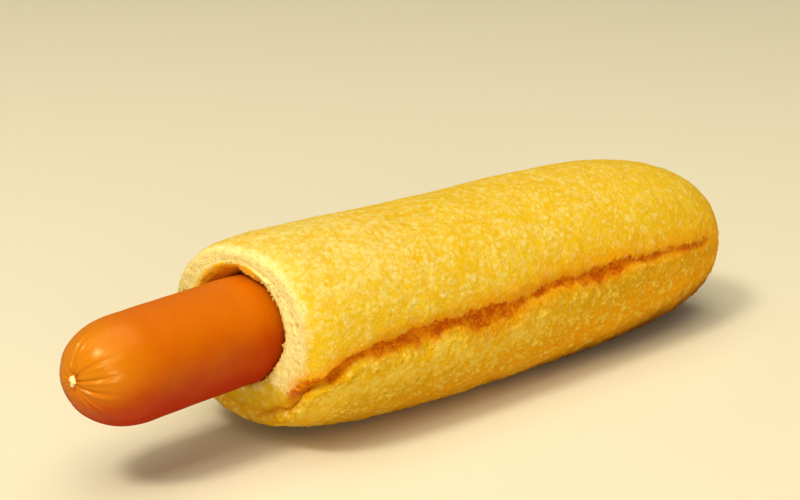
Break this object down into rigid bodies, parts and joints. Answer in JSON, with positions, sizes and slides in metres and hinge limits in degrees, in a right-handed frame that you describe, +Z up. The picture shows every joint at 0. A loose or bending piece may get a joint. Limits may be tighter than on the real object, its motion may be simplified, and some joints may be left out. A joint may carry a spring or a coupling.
{
  "type": "french hot dog",
  "caption": "Frankfurter pushed into the bore of a long golden crusty roll cut off at one end, lying on its flat underside.",
  "frame": {"origin": "centre of the footprint of the whole object, on the surface it rests on", "axes": "+X along the roll towards its closed end, so the frankfurter sticks out towards -X; +Z up"},
  "size_m": [0.2074, 0.0573, 0.0463],
  "materials": {
    "bread": "baked bread: matte golden crust with pale flecks, pale crumb at the cut end, toasted brown torn seam",
    "sausage_skin": "smooth orange-brown sausage skin with a satin sheen, gathered in fine folds at the tip"
  },
  "bodies": {
    "root": {"bun": "bread", "sausage": "sausage_skin"}
  },
  "joints": []
}
